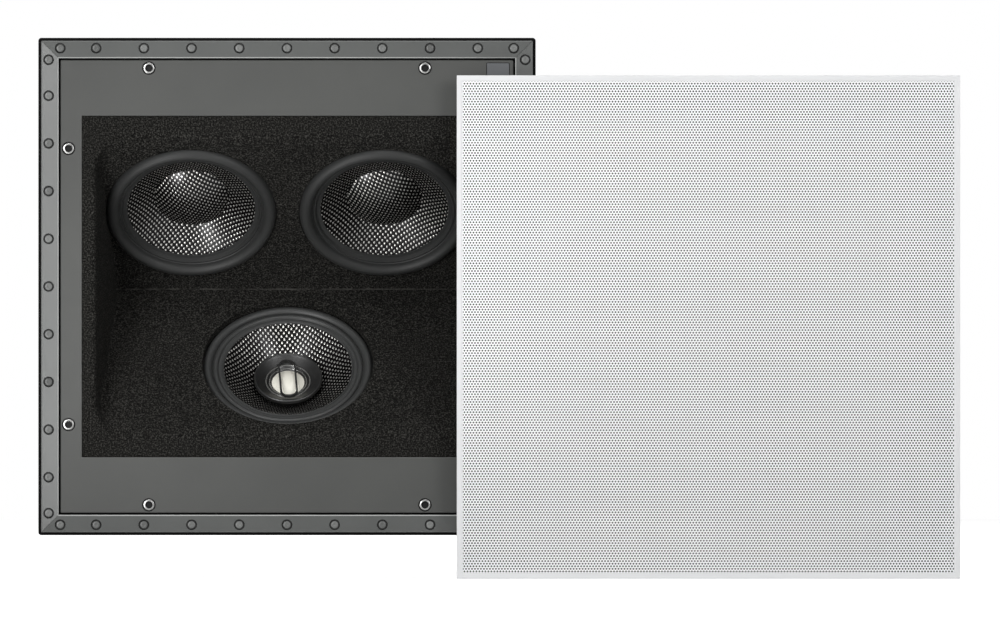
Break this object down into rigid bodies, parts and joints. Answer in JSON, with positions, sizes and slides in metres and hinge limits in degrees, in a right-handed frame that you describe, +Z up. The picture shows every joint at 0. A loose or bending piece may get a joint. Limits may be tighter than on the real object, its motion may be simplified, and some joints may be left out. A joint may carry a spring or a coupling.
{
  "type": "ceiling speaker",
  "caption": "Square in-ceiling speaker with woofers and a coaxial midrange angled in a foam-lined recess, swing-out clamps and a perforated magnetic grille shown taken off.",
  "frame": {"origin": "centre of the ceiling cut-out, in the plane where the flange's back face meets the ceiling", "axes": "+Y into the ceiling, -Y into the room where the speaker faces, +Z up and +X right as the front is seen"},
  "size_m": [0.7406, 0.191, 0.4346],
  "materials": {
    "black_plastic": "matte",
    "grey_panel": "satin",
    "grey_rail": "satin",
    "cover_grey": "satin",
    "disc_magnet": "satin",
    "black_screw": "satin",
    "zinc_screw": "satin",
    "baffle_plastic": "matte",
    "foam": "matte",
    "surround_rubber": "satin",
    "woven_cone": "gloss",
    "spider_cloth": "matte",
    "voice_coil_wire": "satin",
    "basket_metal": "satin",
    "motor_steel": "satin",
    "ferrite": "matte",
    "guide_black": "satin",
    "dome_cloth": "satin",
    "clamp_plastic": "satin",
    "terminal_red": "gloss",
    "terminal_black": "gloss",
    "board_green": "satin",
    "board_parts": "satin",
    "grille_white": "matte"
  },
  "bodies": {
    "chassis": {"back_box": "black_plastic", "front_panel": "grey_panel", "corner_plate": "cover_grey", "rail_top": "grey_rail", "rail_right": "grey_rail", "rail_bottom": "grey_rail", "rail_left": "grey_rail", "grille_magnets": "disc_magnet", "baffle": "baffle_plastic", "baffle_foam": "foam", "assembly_screws": "zinc_screw", "terminal_cup": "black_plastic", "crossover_board": "board_green", "crossover_parts": "board_parts", "grille": "grille_white", "motor_top_plates": "motor_steel", "motor_ring_magnets": "ferrite", "motor_yokes": "motor_steel", "flange_ring": "black_plastic", "clamp_brackets": "black_plastic", "tweeter_waveguide": "guide_black", "tweeter_dome": "dome_cloth", "tweeter_motor": "motor_steel", "tweeter_bridge": "guide_black", "woofer_left_basket": "basket_metal", "woofer_left_surround": "surround_rubber", "woofer_left_spider": "spider_cloth", "woofer_right_basket": "basket_metal", "woofer_right_surround": "surround_rubber", "woofer_right_spider": "spider_cloth", "mid_basket": "basket_metal", "mid_surround": "surround_rubber", "mid_spider": "spider_cloth"},
    "woofer_left_moving": {"woofer_left_cone": "woven_cone", "woofer_left_voice_coil": "voice_coil_wire", "woofer_left_dust_cap": "woven_cone"},
    "woofer_right_moving": {"woofer_right_cone": "woven_cone", "woofer_right_voice_coil": "voice_coil_wire", "woofer_right_dust_cap": "woven_cone"},
    "mid_moving": {"mid_cone": "woven_cone", "mid_voice_coil": "voice_coil_wire"},
    "clamp_screw_1": {"clamp_screw_1": "black_screw"},
    "clamp_arm_1": {"clamp_arm_1": "clamp_plastic"},
    "clamp_screw_2": {"clamp_screw_2": "black_screw"},
    "clamp_arm_2": {"clamp_arm_2": "clamp_plastic"},
    "clamp_screw_3": {"clamp_screw_3": "black_screw"},
    "clamp_arm_3": {"clamp_arm_3": "clamp_plastic"},
    "clamp_screw_4": {"clamp_screw_4": "black_screw"},
    "clamp_arm_4": {"clamp_arm_4": "clamp_plastic"},
    "clamp_screw_5": {"clamp_screw_5": "black_screw"},
    "clamp_arm_5": {"clamp_arm_5": "clamp_plastic"},
    "clamp_screw_6": {"clamp_screw_6": "black_screw"},
    "clamp_arm_6": {"clamp_arm_6": "clamp_plastic"},
    "clamp_screw_7": {"clamp_screw_7": "black_screw"},
    "clamp_arm_7": {"clamp_arm_7": "clamp_plastic"},
    "clamp_screw_8": {"clamp_screw_8": "black_screw"},
    "clamp_arm_8": {"clamp_arm_8": "clamp_plastic"},
    "terminal_red": {"terminal_red": "terminal_red"},
    "terminal_black": {"terminal_black": "terminal_black"}
  },
  "joints": [
    {"name": "woofer_left_travel", "type": "slide", "parent": "chassis", "child": "woofer_left_moving", "axis": [0, -0.7254, -0.6884], "range_m": [-0.005, 0.005], "stiffness_N_per_m": 1200, "deforming": ["woofer_left_surround", "woofer_left_spider"]},
    {"name": "woofer_right_travel", "type": "slide", "parent": "chassis", "child": "woofer_right_moving", "axis": [0, -0.7254, -0.6884], "range_m": [-0.005, 0.005], "stiffness_N_per_m": 1200, "deforming": ["woofer_right_surround", "woofer_right_spider"]},
    {"name": "mid_travel", "type": "slide", "parent": "chassis", "child": "mid_moving", "axis": [0, -0.7133, 0.7009], "range_m": [-0.0025, 0.0025], "stiffness_N_per_m": 1200, "deforming": ["mid_surround", "mid_spider"]},
    {"name": "clamp_1_turn", "type": "hinge", "parent": "chassis", "child": "clamp_screw_1", "pos_m": [-0.111, 0, 0.17559], "axis": [0, -1, 0], "range_deg": [0, 90]},
    {"name": "clamp_1_draw", "type": "slide", "parent": "clamp_screw_1", "child": "clamp_arm_1", "axis": [0, -1, 0], "range_m": [0, 0.03]},
    {"name": "clamp_2_turn", "type": "hinge", "parent": "chassis", "child": "clamp_screw_2", "pos_m": [0.111, 0, 0.17559], "axis": [0, 1, 0], "range_deg": [0, 90]},
    {"name": "clamp_2_draw", "type": "slide", "parent": "clamp_screw_2", "child": "clamp_arm_2", "axis": [0, -1, 0], "range_m": [0, 0.03]},
    {"name": "clamp_3_turn", "type": "hinge", "parent": "chassis", "child": "clamp_screw_3", "pos_m": [0.17559, 0, 0.111], "axis": [0, -1, 0], "range_deg": [0, 90]},
    {"name": "clamp_3_draw", "type": "slide", "parent": "clamp_screw_3", "child": "clamp_arm_3", "axis": [0, -1, 0], "range_m": [0, 0.03]},
    {"name": "clamp_4_turn", "type": "hinge", "parent": "chassis", "child": "clamp_screw_4", "pos_m": [0.17559, 0, -0.111], "axis": [0, 1, 0], "range_deg": [0, 90]},
    {"name": "clamp_4_draw", "type": "slide", "parent": "clamp_screw_4", "child": "clamp_arm_4", "axis": [0, -1, 0], "range_m": [0, 0.03]},
    {"name": "clamp_5_turn", "type": "hinge", "parent": "chassis", "child": "clamp_screw_5", "pos_m": [0.111, 0, -0.17559], "axis": [0, -1, 0], "range_deg": [0, 90]},
    {"name": "clamp_5_draw", "type": "slide", "parent": "clamp_screw_5", "child": "clamp_arm_5", "axis": [0, -1, 0], "range_m": [0, 0.03]},
    {"name": "clamp_6_turn", "type": "hinge", "parent": "chassis", "child": "clamp_screw_6", "pos_m": [-0.111, 0, -0.17559], "axis": [0, 1, 0], "range_deg": [0, 90]},
    {"name": "clamp_6_draw", "type": "slide", "parent": "clamp_screw_6", "child": "clamp_arm_6", "axis": [0, -1, 0], "range_m": [0, 0.03]},
    {"name": "clamp_7_turn", "type": "hinge", "parent": "chassis", "child": "clamp_screw_7", "pos_m": [-0.17559, 0, -0.111], "axis": [0, -1, 0], "range_deg": [0, 90]},
    {"name": "clamp_7_draw", "type": "slide", "parent": "clamp_screw_7", "child": "clamp_arm_7", "axis": [0, -1, 0], "range_m": [0, 0.03]},
    {"name": "clamp_8_turn", "type": "hinge", "parent": "chassis", "child": "clamp_screw_8", "pos_m": [-0.17559, 0, 0.111], "axis": [0, 1, 0], "range_deg": [0, 90]},
    {"name": "clamp_8_draw", "type": "slide", "parent": "clamp_screw_8", "child": "clamp_arm_8", "axis": [0, -1, 0], "range_m": [0, 0.03]},
    {"name": "terminal_red_press", "type": "slide", "parent": "chassis", "child": "terminal_red", "axis": [0, -1, 0], "range_m": [0, 0.004], "stiffness_N_per_m": 600},
    {"name": "terminal_black_press", "type": "slide", "parent": "chassis", "child": "terminal_black", "axis": [0, -1, 0], "range_m": [0, 0.004], "stiffness_N_per_m": 600}
  ]
}
